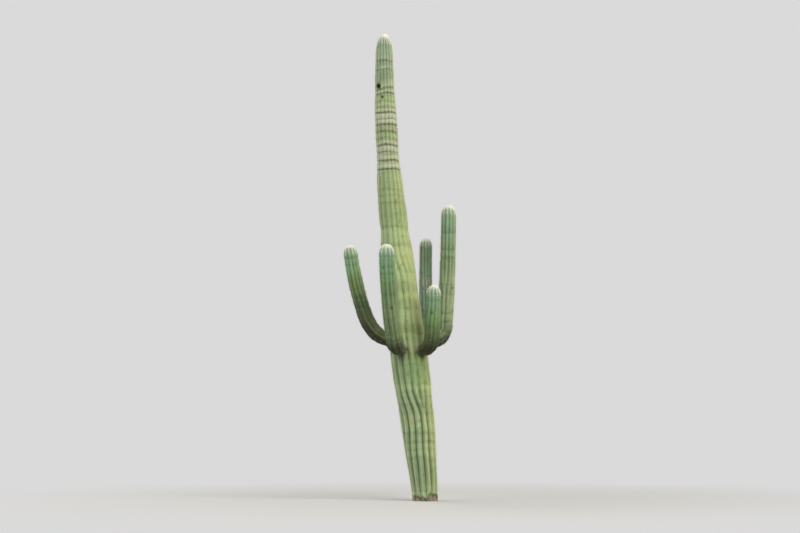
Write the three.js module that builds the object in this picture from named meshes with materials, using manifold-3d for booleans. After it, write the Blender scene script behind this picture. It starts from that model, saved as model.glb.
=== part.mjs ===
// A mature saguaro cactus, 7 m tall: one leaning, pleated trunk and a whorl of five arms.
// Units are millimetres and +Z is up. The origin is the middle of the flat cut at ground level.
// The plant is seen along +Y, so +X is its right and -Y its front.
import * as THREE from "three";
import { mergeVertices } from "three/addons/utils/BufferGeometryUtils.js";
import Module from "manifold-3d";

const wasm = await Module();
wasm.setup();

// The trunk's driving dimensions
const HEIGHT = 7000;
const LEAN = 620; // how far the tip stands left of the foot
const LEAN_POWER = 1.25; // over 1, so that the trunk leaves the ground upright
const SWAY = 45; // how far the middle bows to the back
const FOOT_RADIUS = 178;
const FLARE = 16; // what the foot swells by at the ground
const FLARE_HEIGHT = 150;
const GIRTH_RADIUS = 280; // at the crests of the ribs, where the trunk is thickest
const GIRTH_HEIGHT = 2100;
const CROWN_RADIUS = 130; // where the dome at the tip starts
const CROWN_HEIGHT = 330;
const TWIST = THREE.MathUtils.degToRad(9); // of the ribs, from foot to tip

// Waists left by lean years, and swellings where the sign is turned: height, depth and half length
const WAISTS = [
  { height: 1500, depth: 9, half: 260 },
  { height: 3560, depth: -15, half: 330 },
  { height: 4010, depth: 13, half: 150 },
  { height: 5120, depth: 13, half: 240 },
  { height: 5720, depth: -5, half: 260 },
];

// The ribs: a pleat runs up from each valley over a rounded crest, and a fork splits one rib into two
const TRUNK_RIBS = 13;
const TRUNK_FORKS = [
  { rib: 2, at: 700 },
  { rib: 10, at: 1250 },
  { rib: 6, at: 2500 },
  { rib: 12, at: 3300 },
];
const ARM_RIBS = 10;
const FORK_LENGTH = 420; // over which a new valley opens to its full depth
const POINTS_PER_RIB = 4;
const CREST_ROUNDNESS = 0.62; // under 1 is broader at the crest and sharper in the valley
const TRUNK_PLEAT = 0.17; // a valley's depth, as a share of the radius
const FOOT_PLEAT = 0.09; // shallower where cork fills the valleys
const CORK_HEIGHT = 600;
const ARM_PLEAT = 0.18;
const NECK_PLEAT = 0.04;
const TIP_PLEAT = 0.1;

// Each arm leaves the trunk along its heading, in degrees from +X towards +Y, and bends up
const ARMS = [
  {
    name: "left_arm",
    heading: 172,
    height: 2330,
    exit: 26,
    upright: 72,
    tip: 84,
    straight: 20,
    bend: 600,
    length: 1660,
    radius: 119,
    forkedRib: 4,
  },
  {
    name: "front_left_arm",
    heading: 246,
    height: 2250,
    exit: 0,
    upright: 70,
    tip: 88,
    straight: 20,
    bend: 320,
    length: 1740,
    radius: 130,
    forkedRib: 7,
  },
  {
    name: "front_right_arm",
    heading: 313,
    height: 2230,
    exit: 4,
    upright: 84,
    tip: 90,
    straight: 20,
    bend: 320,
    length: 1100,
    radius: 122,
    forkedRib: 2,
  },
  {
    name: "right_arm",
    heading: 13,
    height: 2350,
    exit: 6,
    upright: 86,
    tip: 90,
    straight: 40,
    bend: 410,
    length: 2250,
    radius: 127,
    forkedRib: 6,
  },
  {
    name: "back_right_arm",
    heading: 56,
    height: 2400,
    exit: 10,
    upright: 88,
    tip: 90,
    straight: 40,
    bend: 300,
    length: 1660,
    radius: 106,
    forkedRib: 9,
  },
];
const ARM_ROOT_DEPTH = 70; // how far a sweep starts inside the trunk, before it is cut off there
const NECK_SHARE = 0.66; // a neck's radius, as a share of the arm's
const SWELL_LENGTH = 260; // over which the neck swells to the arm
const ARM_TAPER = 0.14; // lost from elbow to crown
const ARM_CROWN_SHARE = 1.25; // a dome's length, as a share of the radius
const ARM_FORK_SHARE = 0.42; // of the arm's length, where one of its ribs forks
const SPLIT_PAST_BEND = 20; // an elbow ends here, and the upright starts

// How finely the solids are made
const TRUNK_RING_STEP = 260;
const CROWN_RINGS = 5;
const ELBOW_RINGS = 7;
const UPRIGHT_RING_STEP = 260;
const AXIS_STEPS = 240;
const POLE_SHARE = 0.16; // of the radius at the last ring of a dome
const CLEARANCE = 0.3; // between two pieces that meet
const CUT_GAP = 0.65; // a little more, as the ribs' sides slope

const smooth = (t) => THREE.MathUtils.smoothstep(t, 0, 1);
const { lerp, clamp, degToRad } = THREE.MathUtils;

// The ribs

// A rib's height across its width, from 0 in a valley to 1 on the crest
function crestShape(across) {
  return Math.sin(Math.PI * clamp(across, 0, 1)) ** CREST_ROUNDNESS;
}

// The outline's points in one turn, each a share of the turn and a height between valley and crest
function pleats(limb, along) {
  const ribs = [];
  for (let rib = 0; rib < limb.ribs; rib++) {
    const fork = limb.forks.find((f) => f.rib === rib);
    const open = fork ? smooth((along - fork.at) / FORK_LENGTH) : 0;
    ribs.push({ parts: fork ? 2 : 1, open, share: 1 + open });
  }
  const whole = ribs.reduce((sum, rib) => sum + rib.share, 0);
  const points = [];
  let start = 0;
  for (const { parts, open, share } of ribs) {
    const steps = parts * POINTS_PER_RIB;
    for (let k = 0; k < steps; k++) {
      const across = k / steps;
      const oneRib = crestShape(across);
      const twoRibs = crestShape((across * parts) % 1);
      points.push({
        turn: (start + across * share) / whole,
        height: lerp(oneRib, twoRibs, open),
      });
    }
    start += share;
  }
  return points;
}

// One ring of a limb in space. grow widens it, for cutting a neighbour clear of it.
function ring(limb, along, grow = 0) {
  const { centre, out, side } = limb.place(along);
  const radius = limb.radius(along);
  const pleat = limb.pleat(along);
  return pleats(limb, along).map(({ turn, height }) => {
    const angle = 2 * Math.PI * turn + limb.twist(along);
    const reach = radius * (1 - pleat * (1 - height)) + grow;
    return centre
      .clone()
      .addScaledVector(out, reach * Math.cos(angle))
      .addScaledVector(side, reach * Math.sin(angle));
  });
}

// A closed skin over rings, flat where first and last are points in the plane of their ring
function skin(rings, first, last) {
  const columns = rings[0].length;
  const points = [...rings.flat(), first, last];
  const firstPoint = rings.length * columns;
  const faces = [];
  for (let c = 0; c < columns; c++) {
    const next = (c + 1) % columns;
    for (let r = 0; r + 1 < rings.length; r++) {
      const low = r * columns;
      const high = low + columns;
      faces.push(low + c, low + next, high + next);
      faces.push(low + c, high + next, high + c);
    }
    const top = (rings.length - 1) * columns;
    faces.push(firstPoint, next, c);
    faces.push(firstPoint + 1, top + c, top + next);
  }
  const geometry = new THREE.BufferGeometry().setFromPoints(points);
  geometry.setIndex(faces);
  return geometry;
}

// A dome's radius as a share of the radius below it, at a share of its length
function dome(share) {
  return Math.sqrt(Math.max(0, 1 - share * share));
}

// Where the rings of a dome go along a limb, closer together towards the pole
function domeStations(start, length) {
  const last = Math.acos(POLE_SHARE);
  return Array.from({ length: CROWN_RINGS }, (_, k) => {
    return start + length * Math.sin((last * (k + 1)) / CROWN_RINGS);
  });
}

function evenStations(start, end, step) {
  const spaces = Math.ceil((end - start) / step);
  return Array.from({ length: spaces + 1 }, (_, k) =>
    lerp(start, end, k / spaces),
  );
}

// The trunk

function trunkCentre(height) {
  const share = clamp(height / HEIGHT, 0, 1);
  return new THREE.Vector3(
    -LEAN * Math.sin((Math.PI / 2) * share) ** LEAN_POWER,
    SWAY * Math.sin(Math.PI * share) ** 2,
    height,
  );
}

// The radius at the crests: up to the girth, then a straight taper, waists, and the dome
function trunkRadius(height) {
  const crownStart = HEIGHT - CROWN_HEIGHT;
  const rise = Math.sin((Math.PI / 2) * clamp(height / GIRTH_HEIGHT, 0, 1));
  const fall = clamp(
    (height - GIRTH_HEIGHT) / (crownStart - GIRTH_HEIGHT),
    0,
    1,
  );
  const flare = FLARE * (1 - smooth(height / FLARE_HEIGHT));
  const stem =
    lerp(FOOT_RADIUS, GIRTH_RADIUS, rise) -
    (GIRTH_RADIUS - CROWN_RADIUS) * fall +
    flare;
  const waists = WAISTS.reduce(
    (sum, { height: at, depth, half }) =>
      sum + depth * Math.exp(-(((height - at) / half) ** 2)),
    0,
  );
  return (stem - waists) * dome(clamp((height - crownStart) / CROWN_HEIGHT, 0, 1));
}

const trunk = {
  ribs: TRUNK_RIBS,
  forks: TRUNK_FORKS,
  place: (height) => ({
    centre: trunkCentre(height),
    out: new THREE.Vector3(1, 0, 0),
    side: new THREE.Vector3(0, 1, 0),
  }),
  radius: trunkRadius,
  pleat: (height) => {
    const corkFree = lerp(FOOT_PLEAT, TRUNK_PLEAT, smooth(height / CORK_HEIGHT));
    const nearTip = smooth((height - HEIGHT + 2 * CROWN_HEIGHT) / (2 * CROWN_HEIGHT));
    return lerp(corkFree, TIP_PLEAT, nearTip);
  },
  twist: (height) => (TWIST * height) / HEIGHT,
};

function trunkGeometry(grow = 0) {
  const crownStart = HEIGHT - CROWN_HEIGHT;
  const stations = [
    0,
    ...evenStations(FLARE_HEIGHT / 2, crownStart, TRUNK_RING_STEP),
    ...domeStations(crownStart, CROWN_HEIGHT),
  ];
  const rings = stations.map((height) => ring(trunk, height, grow));
  return skin(rings, trunkCentre(0), trunkCentre(HEIGHT));
}

// The arms

// An arm's line, from inside the trunk out along its heading and up: points and slopes at even steps
function armAxis(arm) {
  const heading = degToRad(arm.heading);
  const outwards = new THREE.Vector3(Math.cos(heading), Math.sin(heading), 0);
  const up = new THREE.Vector3(0, 0, 1);
  const rootReach = trunkRadius(arm.height) - ARM_ROOT_DEPTH;
  const centre = trunkCentre(arm.height).addScaledVector(outwards, rootReach);
  const bendStart = ARM_ROOT_DEPTH + arm.straight;
  const bendEnd = bendStart + arm.bend;
  const length = ARM_ROOT_DEPTH + arm.length;
  const step = length / AXIS_STEPS;
  const slopeAt = (along) => {
    const turned = clamp((along - bendStart) / arm.bend, 0, 1);
    const eased = (turned + smooth(turned)) / 2;
    const risen = clamp((along - bendEnd) / (length - bendEnd), 0, 1);
    const slope = lerp(arm.exit, arm.upright, eased);
    return degToRad(slope + (arm.tip - arm.upright) * risen);
  };
  const points = [];
  for (let k = 0; k <= AXIS_STEPS; k++) {
    points.push(centre.clone());
    const slope = slopeAt((k + 0.5) * step);
    centre.addScaledVector(outwards, step * Math.cos(slope));
    centre.addScaledVector(up, step * Math.sin(slope));
  }
  return { points, slopeAt, outwards, up, length, bendEnd };
}

// An arm as a limb: its line, its swelling from the neck, its taper and its dome
function armLimb(arm) {
  const { points, slopeAt, outwards, up, length, bendEnd } = armAxis(arm);
  const side = new THREE.Vector3().crossVectors(outwards, up);
  const domeLength = arm.radius * ARM_CROWN_SHARE;
  const domeStart = length - domeLength;
  return {
    ribs: ARM_RIBS,
    forks: [{ rib: arm.forkedRib, at: length * ARM_FORK_SHARE }],
    length,
    split: bendEnd + SPLIT_PAST_BEND,
    domeStart,
    domeLength,
    place: (along) => {
      const at = clamp((along / length) * AXIS_STEPS, 0, AXIS_STEPS);
      const low = Math.min(Math.floor(at), AXIS_STEPS - 1);
      const slope = slopeAt(along);
      return {
        centre: points[low].clone().lerp(points[low + 1], at - low),
        out: outwards
          .clone()
          .multiplyScalar(Math.sin(slope))
          .addScaledVector(up, -Math.cos(slope)),
        side: side.clone().negate(),
      };
    },
    radius: (along) => {
      const swell = smooth((along - ARM_ROOT_DEPTH) / SWELL_LENGTH);
      const full = arm.radius * (1 - (ARM_TAPER * along) / length);
      const inDome = clamp((along - domeStart) / domeLength, 0, 1);
      return full * lerp(NECK_SHARE, 1, swell) * dome(inDome);
    },
    pleat: (along) => {
      const opened = smooth((along - ARM_ROOT_DEPTH) / SWELL_LENGTH);
      const nearTip = smooth((along - domeStart + domeLength) / (2 * domeLength));
      return lerp(lerp(NECK_PLEAT, ARM_PLEAT, opened), TIP_PLEAT, nearTip);
    },
    twist: () => 0,
  };
}

// From inside the trunk to just past the bend, cut off where it meets the trunk's ribs
function elbowGeometry(limb, cutter) {
  const end = limb.split - CLEARANCE / 2;
  const stations = evenStations(0, end, end / ELBOW_RINGS);
  const rings = stations.map((along) => ring(limb, along));
  const sweep = skin(rings, limb.place(0).centre, limb.place(end).centre);
  return geometryOf(solidOf(sweep).subtract(cutter));
}

function uprightGeometry(limb) {
  const start = limb.split + CLEARANCE / 2;
  const stations = [
    ...evenStations(start, limb.domeStart, UPRIGHT_RING_STEP),
    ...domeStations(limb.domeStart, limb.domeLength),
  ];
  const rings = stations.map((along) => ring(limb, along));
  return skin(rings, limb.place(start).centre, limb.place(limb.length).centre);
}

// Solids for cutting

function solidOf(geometry) {
  const bare = geometry.clone();
  bare.deleteAttribute("normal");
  bare.deleteAttribute("uv");
  const merged = mergeVertices(bare, 1e-3);
  return new wasm.Manifold(
    new wasm.Mesh({
      numProp: 3,
      vertProperties: new Float32Array(merged.attributes.position.array),
      triVerts: new Uint32Array(merged.index.array),
    }),
  );
}

function geometryOf(solid) {
  const { vertProperties, triVerts } = solid.getMesh();
  return new THREE.BufferGeometry()
    .setAttribute("position", new THREE.BufferAttribute(vertProperties, 3))
    .setIndex(new THREE.BufferAttribute(triVerts, 1));
}

// The plant

const trunkSkin = new THREE.MeshStandardMaterial({
  color: 0x8ca071,
  roughness: 0.62,
  metalness: 0,
});
const armSkin = new THREE.MeshStandardMaterial({
  color: 0x6f8a5c,
  roughness: 0.6,
  metalness: 0,
});

function piece(name, geometry, material) {
  geometry.computeVertexNormals();
  const mesh = new THREE.Mesh(geometry, material);
  mesh.name = name;
  return mesh;
}

const saguaro = new THREE.Group();
saguaro.add(piece("trunk", trunkGeometry(), trunkSkin));
const cutter = solidOf(trunkGeometry(CUT_GAP));
for (const arm of ARMS) {
  const limb = armLimb(arm);
  const elbow = elbowGeometry(limb, cutter);
  saguaro.add(piece(`${arm.name}_elbow`, elbow, armSkin));
  saguaro.add(piece(arm.name, uprightGeometry(limb), armSkin));
}

export default saguaro;
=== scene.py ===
# %% [markdown]
# A saguaro: a cactus as tall as a tree. It is a pleated column full of water, with five arms that
# leave it nearly level and turn up beside it. The frame holds its solids at their real size, in
# metres, with the foot of the trunk at the origin and +Z up. What is left to make is the living
# surface: smooth ribs, growth rings, cork, a bird's nest hole, felt pads, and well over a hundred
# thousand spines. Every piece lies over the solid that it stands for, and only spines reach past
# the solids' size.

import math
from functools import partial
from types import SimpleNamespace

import bpy
import numpy as np
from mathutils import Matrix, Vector
from mathutils.bvhtree import BVHTree


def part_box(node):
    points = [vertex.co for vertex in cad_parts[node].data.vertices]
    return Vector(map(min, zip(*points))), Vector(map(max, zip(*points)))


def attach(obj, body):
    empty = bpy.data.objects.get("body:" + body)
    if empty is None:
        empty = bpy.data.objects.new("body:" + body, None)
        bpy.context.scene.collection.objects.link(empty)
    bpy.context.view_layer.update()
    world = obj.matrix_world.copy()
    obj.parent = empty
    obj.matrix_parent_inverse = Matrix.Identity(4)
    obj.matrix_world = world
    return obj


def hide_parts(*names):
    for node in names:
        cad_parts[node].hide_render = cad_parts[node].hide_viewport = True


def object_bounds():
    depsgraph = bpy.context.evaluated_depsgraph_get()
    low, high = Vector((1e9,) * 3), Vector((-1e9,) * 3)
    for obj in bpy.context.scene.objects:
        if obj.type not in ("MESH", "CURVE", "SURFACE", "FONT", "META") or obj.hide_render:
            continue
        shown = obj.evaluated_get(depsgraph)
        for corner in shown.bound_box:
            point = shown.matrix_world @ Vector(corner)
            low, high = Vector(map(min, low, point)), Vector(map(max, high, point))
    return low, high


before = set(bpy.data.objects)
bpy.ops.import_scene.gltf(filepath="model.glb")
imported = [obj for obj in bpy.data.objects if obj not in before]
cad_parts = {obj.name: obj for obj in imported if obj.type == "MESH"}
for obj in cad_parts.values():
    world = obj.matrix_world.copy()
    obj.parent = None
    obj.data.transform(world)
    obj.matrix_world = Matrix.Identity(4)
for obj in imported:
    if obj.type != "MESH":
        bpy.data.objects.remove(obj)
cad_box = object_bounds()
cad_low, cad_high = cad_box
print("solids:", len(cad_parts), "box:", [round(v, 3) for v in (*cad_low, *cad_high)])

# %% [markdown]
# The camera comes first, because it says how much detail can be seen. It stands some 37 m away with
# eyes at 1.6 m, looking along +Y at the plant. From so far off, a long lens fills the picture with
# the plant and keeps the flat perspective of a distant view.

# %% The camera
VIEWING_DISTANCE = 36.6
EYE_HEIGHT = 1.6
LENS_MM = 110
FAR_LIMIT = 1000

middle = (cad_low + cad_high) / 2
plant_middle = Vector((middle.x, 0, middle.z))


def new_object(name, data):
    made = bpy.data.objects.new(name, data)
    bpy.context.scene.collection.objects.link(made)
    return made


def aim_at_plant(thing):
    """Turns a camera or a light towards the plant's middle, and gives the way there."""
    way = plant_middle - thing.location
    thing.rotation_euler = way.to_track_quat("-Z", "Y").to_euler()
    return way


camera = new_object("camera", bpy.data.cameras.new("camera"))
camera.data.lens = LENS_MM
camera.data.clip_end = FAR_LIMIT
camera.location = (middle.x, -VIEWING_DISTANCE, EYE_HEIGHT)
towards = aim_at_plant(camera)
bpy.context.scene.camera = camera
looking_up = math.degrees(math.asin(towards.z / towards.length))
print("camera", round(towards.length, 2), "m away, looking up", round(looking_up, 1), "degrees")

# %% [markdown]
# An operator acts on everything that is selected, as a hand at the keyboard would. So two helpers
# come before any modelling: one leaves nothing selected, and one takes a single object to work on.
# Another applies a modifier as soon as it is set, so that the next step works on the real mesh.

# %% Working by hand
def let_go():
    bpy.ops.object.select_all(action="DESELECT")


def take(thing):
    let_go()
    thing.select_set(True)
    bpy.context.view_layer.objects.active = thing


def set_all(thing, settings):
    for key, value in settings.items():
        setattr(thing, key, value)


def apply_modifier(thing, kind, **settings):
    take(thing)
    modifier = thing.modifiers.new(kind.lower(), kind)
    set_all(modifier, settings)
    bpy.ops.object.modifier_apply(modifier=modifier.name)


let_go()

# %% [markdown]
# The skin follows the same rule as the solids: a limb is a line, a radius along it, and a pleat that
# runs from each valley over a rounded crest to the next valley. The rule is written again here for
# whole arrays at once, because the skin has far more points than the solids.

# %% Easing, domes and the pleat
FORK_LENGTH = 0.42  # over which a forked rib's new valley opens


def mix(a, b, share):
    return a + (b - a) * share


def smooth(share):
    held = np.clip(share, 0, 1)
    return held * held * (3 - 2 * held)


def rise(value, start, over):
    """0 up to a start, easing to 1 over a stretch beyond it."""
    return smooth((value - start) / over)


def bell(offset, half):
    """1 at no offset, falling away softly to both sides."""
    return np.exp(-((offset / half) ** 2))


def dome(along, start, length):
    """A limb's rounded end, as a share of its radius: 1 up to a start, and 0 a length beyond it."""
    share = np.clip((along - start) / length, 0, 1)
    return np.sqrt(np.maximum(0, 1 - share * share))


def crest_shape(across, roundness):
    """A rib's section from valley to valley; the higher its roundness, the broader its crest."""
    return 1 - np.abs(2 * np.clip(across, 0, 1) - 1) ** roundness


def fork_openings(limb, along):
    return {rib: rise(along, at, FORK_LENGTH) for rib, at in limb.forks}


def pleats(limb, along, points_per_rib):
    """For each place along a limb, the turn and the crest height of every point round it."""
    openings = fork_openings(limb, along)
    whole = limb.ribs + sum(openings.values())
    roundness = limb.roundness(along)[:, None]
    start = np.zeros_like(along)
    turns, heights = [], []
    for rib in range(limb.ribs):
        opened = openings.get(rib, np.zeros_like(along))
        parts = 2 if rib in openings else 1
        across = np.arange(parts * points_per_rib) / (parts * points_per_rib)
        share = 1 + opened
        turns.append((start[:, None] + np.outer(share, across)) / whole[:, None])
        one_rib = crest_shape(across[None], roundness)
        two_ribs = crest_shape((across[None] * parts) % 1, roundness)
        heights.append(mix(one_rib, two_ribs, opened[:, None]))
        start = start + share
    return np.hstack(turns), np.hstack(heights)


# %% The trunk's line and girth
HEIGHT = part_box("trunk")[1].z
LEAN = 0.620  # how far the tip stands left of the foot
LEAN_POWER = 1.25
SWAY = 0.045
FOOT_RADIUS = 0.178
FLARE = 0.016
FLARE_HEIGHT = 0.15
GIRTH_RADIUS = 0.280
GIRTH_HEIGHT = 2.1
CROWN_RADIUS = 0.130
CROWN_HEIGHT = 0.330
CROWN_START = HEIGHT - CROWN_HEIGHT
TWIST = math.radians(9)
WAISTS = [  # height, depth and half length; a swelling has its depth's sign turned
    (1.50, 0.009, 0.26), (3.56, -0.015, 0.33), (4.01, 0.013, 0.15), (5.12, 0.013, 0.24),
    (5.72, -0.005, 0.26),
]
FOOT_PLEAT = 0.09
TRUNK_PLEAT = 0.17  # a valley's depth, as a share of the radius
SWOLLEN_PLEAT = 0.07  # above the arms, where the trunk is full of water
TIP_PLEAT = 0.1
CORK_HEIGHT = 0.6
OLD_ROUNDNESS = 2.3
YOUNG_ROUNDNESS = 1.9


def trunk_centre(height):
    share = np.clip(height / HEIGHT, 0, 1)
    lean = -LEAN * np.sin(np.pi / 2 * share) ** LEAN_POWER
    return np.stack([lean, SWAY * np.sin(np.pi * share) ** 2, height], axis=-1)


def trunk_radius(height):
    widening = np.sin(np.pi / 2 * np.clip(height / GIRTH_HEIGHT, 0, 1))
    narrowing = np.clip((height - GIRTH_HEIGHT) / (CROWN_START - GIRTH_HEIGHT), 0, 1)
    stem = mix(FOOT_RADIUS, GIRTH_RADIUS, widening) - (GIRTH_RADIUS - CROWN_RADIUS) * narrowing
    stem = stem + FLARE * (1 - smooth(height / FLARE_HEIGHT))
    for at, depth, half in WAISTS:
        stem = stem - depth * bell(height - at, half)
    return stem * dome(height, CROWN_START, CROWN_HEIGHT)


def trunk_place(height):
    level = np.ones((len(height), 1))
    return trunk_centre(height), level * [1.0, 0, 0], level * [0, 1.0, 0]


def trunk_pleat(height):
    cork_free = mix(FOOT_PLEAT, TRUNK_PLEAT, smooth(height / CORK_HEIGHT))
    full_of_water = mix(cork_free, SWOLLEN_PLEAT, rise(height, start=1.5, over=2.0))
    near_tip = smooth((height - HEIGHT + 2 * CROWN_HEIGHT) / (2 * CROWN_HEIGHT))
    return mix(full_of_water, TIP_PLEAT, near_tip)


def trunk_roundness(height):
    return mix(OLD_ROUNDNESS, YOUNG_ROUNDNESS, rise(height, start=0.5, over=4))


trunk = SimpleNamespace(
    name="trunk",
    ribs=13,
    forks=[(2, 0.7), (10, 1.25), (6, 2.5), (12, 3.3)],  # rib and height
    length=HEIGHT,
    place=trunk_place,
    radius=trunk_radius,
    pleat=trunk_pleat,
    roundness=trunk_roundness,
    twist=lambda height: TWIST * height / HEIGHT,
)

# %% The arms' lines and girths
ARM_COLUMNS = ["name", "heading", "height", "exit", "upright", "tip", "straight", "bend", "grown",
               "thickness", "forked_rib", "sun", "wax"]
ARMS = [  # angles in degrees, with headings from +X towards +Y; sun and wax, partly painted light, from 0 to 1
    ["left_arm", 172, 2.33, 26, 72, 84, 0.02, 0.60, 1.66, 0.119, 4, 0.00, 0.05],
    ["front_left_arm", 246, 2.25, 0, 70, 88, 0.02, 0.32, 1.74, 0.130, 7, 0.40, 0.38],
    ["front_right_arm", 313, 2.23, 4, 84, 90, 0.02, 0.32, 1.10, 0.122, 2, 0.00, 0.05],
    ["right_arm", 13, 2.35, 6, 86, 90, 0.04, 0.41, 2.25, 0.127, 6, 1.00, 0.60],
    ["back_right_arm", 56, 2.40, 10, 88, 90, 0.04, 0.30, 1.66, 0.106, 9, 0.50, 1.00],
]
ARM_RIBS = 10
ARM_ROOT_DEPTH = 0.07  # how far an arm's line starts inside the trunk
NECK_SHARE = 0.66
SWELL_LENGTH = 0.26
ARM_TAPER = 0.14
ARM_CROWN_SHARE = 1.25
ARM_FORK_SHARE = 0.42
ARM_PLEAT = 0.18
ARM_ROUNDNESS = 1.75
NECK_PLEAT = 0.04
AXIS_STEPS = 240
UP = np.array([0, 0, 1.0])


def arm_slope(arm, along):
    """How steeply an arm's line climbs: first through its bend, then slowly on to its tip."""
    turned = np.clip((along - arm.bend_start) / arm.bend, 0, 1)
    eased = (turned + smooth(turned)) / 2
    risen = np.clip((along - arm.bend_end) / (arm.length - arm.bend_end), 0, 1)
    return np.radians(mix(arm.exit, arm.upright, eased) + (arm.tip - arm.upright) * risen)


def arm_line(arm, root):
    """Points along an arm's line, added up from short straight strides."""
    step = arm.length / AXIS_STEPS
    slopes = arm_slope(arm, (np.arange(AXIS_STEPS) + 0.5) * step)
    strides = step * (np.outer(np.cos(slopes), arm.outwards) + np.outer(np.sin(slopes), UP))
    return root + np.vstack([np.zeros(3), np.cumsum(strides, axis=0)])


def arm_place(arm, along):
    stations = np.linspace(0, arm.length, AXIS_STEPS + 1)
    centre = np.stack([np.interp(along, stations, arm.line[:, k]) for k in range(3)], axis=-1)
    slopes = arm_slope(arm, along)
    out = np.outer(np.sin(slopes), arm.outwards) - np.outer(np.cos(slopes), UP)
    return centre, out, np.broadcast_to(arm.side, centre.shape)


def arm_radius(arm, along):
    full = arm.thickness * (1 - ARM_TAPER * along / arm.length)
    swell = mix(NECK_SHARE, 1, rise(along, ARM_ROOT_DEPTH, SWELL_LENGTH))
    return full * swell * dome(along, arm.dome_start, arm.dome_length)


def arm_pleat(arm, along):
    opened = mix(NECK_PLEAT, ARM_PLEAT, rise(along, ARM_ROOT_DEPTH, SWELL_LENGTH))
    near_tip = smooth((along - arm.dome_start + arm.dome_length) / (2 * arm.dome_length))
    return mix(opened, TIP_PLEAT, near_tip)


def arm_limb(row):
    """An arm as a limb: its line from inside the trunk, its swelling from the neck, and its dome."""
    arm = SimpleNamespace(**dict(zip(ARM_COLUMNS, row)))
    heading = math.radians(arm.heading)
    arm.outwards = np.array([math.cos(heading), math.sin(heading), 0.0])
    arm.side = -np.cross(arm.outwards, UP)
    arm.length = ARM_ROOT_DEPTH + arm.grown
    arm.bend_start = ARM_ROOT_DEPTH + arm.straight
    arm.bend_end = arm.bend_start + arm.bend
    arm.dome_length = arm.thickness * ARM_CROWN_SHARE
    arm.dome_start = arm.length - arm.dome_length
    at = np.array([arm.height])
    heart, rim = trunk_centre(at)[0], trunk_radius(at)[0]
    arm.neck = heart + arm.outwards * rim
    arm.line = arm_line(arm, heart + arm.outwards * (rim - ARM_ROOT_DEPTH))
    arm.ribs = ARM_RIBS
    arm.forks = [(arm.forked_rib, arm.length * ARM_FORK_SHARE)]
    arm.place = partial(arm_place, arm)
    arm.radius = partial(arm_radius, arm)
    arm.pleat = partial(arm_pleat, arm)
    arm.roundness = lambda along: ARM_ROUNDNESS + 0 * along
    arm.twist = lambda along: 0 * along
    return arm


arms = [arm_limb(row) for row in ARMS]
limbs = [trunk, *arms]
print("limbs:", {limb.name: round(limb.length, 2) for limb in limbs})

# %% [markdown]
# A real rib is never dead straight, and a real stem is never perfectly round. Each limb also carries
# its years: where growth stopped for a season the ribs are pinched in, the pinch is dark, partly in
# its own colour and partly as painted shade that spreads softly round it, and the wax just above it
# is pale. The upper trunk shows this strongly, so its rings are listed one by one, each with how
# dark and how pale it is. Fainter rings fill the rest of the plant by a seeded choice, so that it
# grows the same way each time.

# %% Wandering ribs and growth rings
WANDER = [(2, 1.7, 0.009), (3, 2.9, 0.007), (5, 4.3, 0.004)]  # waves round, per metre, radians
UNEVENNESS = [(1, 0.8, 0.0030), (3, 2.2, 0.0018), (4, 6.1, 0.0012)]  # the same, in metres of reach
CLEAR_RINGS = [  # height, darkness and paleness
    (3.40, 0.42, 0.30), (4.06, 0.42, 0.30), (4.42, 0.40, 0.30), (4.62, 0.38, 0.30),
    (4.935, 1.00, 0.65), (5.065, 1.00, 0.95), (5.195, 0.70, 0.95), (5.295, 0.95, 0.95),
    (5.395, 0.50, 0.35), (5.495, 0.75, 0.50), (5.605, 1.00, 0.95), (5.69, 0.65, 0.60),
    (5.785, 1.00, 0.60), (5.86, 0.55, 0.60), (5.95, 0.45, 0.35), (6.085, 0.90, 0.80),
    (6.175, 0.65, 0.60), (6.43, 0.60, 0.65), (6.565, 0.70, 0.55), (6.78, 0.45, 0.20),
]
RING_SPACING = 0.13
RING_SPACING_SPREAD = (0.72, 1.35)
CLEAR_GAP = 0.55 * RING_SPACING  # no seeded ring comes nearer to a clear one
SEEDED_DARKNESS = (0.5, 1.6)  # times how faint its limb's rings are
SEEDED_PALENESS = (0.3, 1.3)
RING_HALF = 0.019
RING_DEPTH = 0.0080  # of the darkest ring
SHADE_HALF = 0.044  # of the painted shade round a ring
SHADE_STRENGTH = 1.7
RING_WAVINESS = 0.007
WAVES_ROUND, WAVES_ALONG = 3, 9
RING_TILT = 0.026  # how much higher a ring runs in front than at the sides
CREST_SAG = 0.010  # how much lower it runs on a crest than in a valley
NEST_BOW = 0.055  # how far the rings by the nest hole are bowed down round it
PALE_OFFSET = 0.042
PALE_HALF = 0.030
PALE_ZONES = [(4.92, 5.36), (5.60, 5.88)]  # stretches that lost their colour in hard years
PALE_ZONE_STRENGTH = 0.42
PALE_ZONE_FADES = (0.05, 0.10)  # at its lower and its upper end


def waves(terms, along, turn, phase):
    """A slow ripple over a limb that closes on itself round the limb."""
    ripple = 0
    for count, per_metre, size in terms:
        wave = np.sin(2 * np.pi * count * turn + per_metre * 2 * along + phase * count)
        ripple = ripple + size * wave
    return ripple


def grow_rings(limb, clear_rings, faint, seed):
    """Gives a limb its rings, as rows of place, darkness and paleness, and the tone between them."""
    draw = np.random.default_rng(seed)
    rings = list(clear_rings)
    place = RING_SPACING
    while place < limb.length - RING_SPACING:
        if all(abs(place - ring[0]) > CLEAR_GAP for ring in clear_rings):
            darkness = faint * draw.uniform(*SEEDED_DARKNESS)
            rings.append((place, darkness, faint * draw.uniform(*SEEDED_PALENESS)))
        place += RING_SPACING * draw.uniform(*RING_SPACING_SPREAD)
    limb.rings = np.array(sorted(rings))
    limb.tones = draw.uniform(-1, 1, len(rings) + 1)
    limb.phase = draw.uniform(0, 2 * np.pi)


grow_rings(trunk, CLEAR_RINGS, faint=0.30, seed=11)
for number, limb in enumerate(arms):
    grow_rings(limb, [], faint=0.38, seed=21 + number)


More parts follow.
